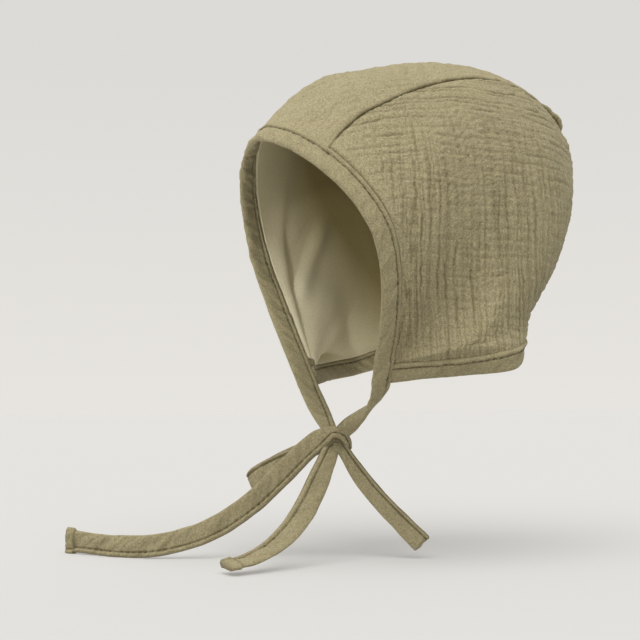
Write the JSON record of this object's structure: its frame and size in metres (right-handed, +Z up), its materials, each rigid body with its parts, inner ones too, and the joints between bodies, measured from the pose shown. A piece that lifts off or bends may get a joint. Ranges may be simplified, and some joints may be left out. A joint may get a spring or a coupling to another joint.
{
  "type": "baby bonnet",
  "caption": "Soft baby bonnet of crinkled gauze with a centre panel, bound edges, a smooth lining and ties knotted in a bow under the chin.",
  "frame": {"origin": "top of the inside of the crown, where the head meets it", "axes": "+Z up, -Y the way the face looks, +X the wearer's left"},
  "size_m": [0.1462, 0.2133, 0.2281],
  "materials": {
    "gauze": "matt crinkled double gauze in sage khaki",
    "lining": "matt smooth plain cotton in sage khaki",
    "binding": "matt folded cotton strip in sage khaki"
  },
  "bodies": {
    "root": {"centre_panel": "gauze", "side_panel_left": "gauze", "side_panel_right": "gauze", "lining": "lining", "face_binding": "binding", "neck_binding": "binding", "tie_left": "binding", "tie_right": "binding", "bow_knot": "binding", "loop_left": "binding", "loop_right": "binding", "tail_long": "binding", "tail_short": "binding"}
  },
  "joints": []
}
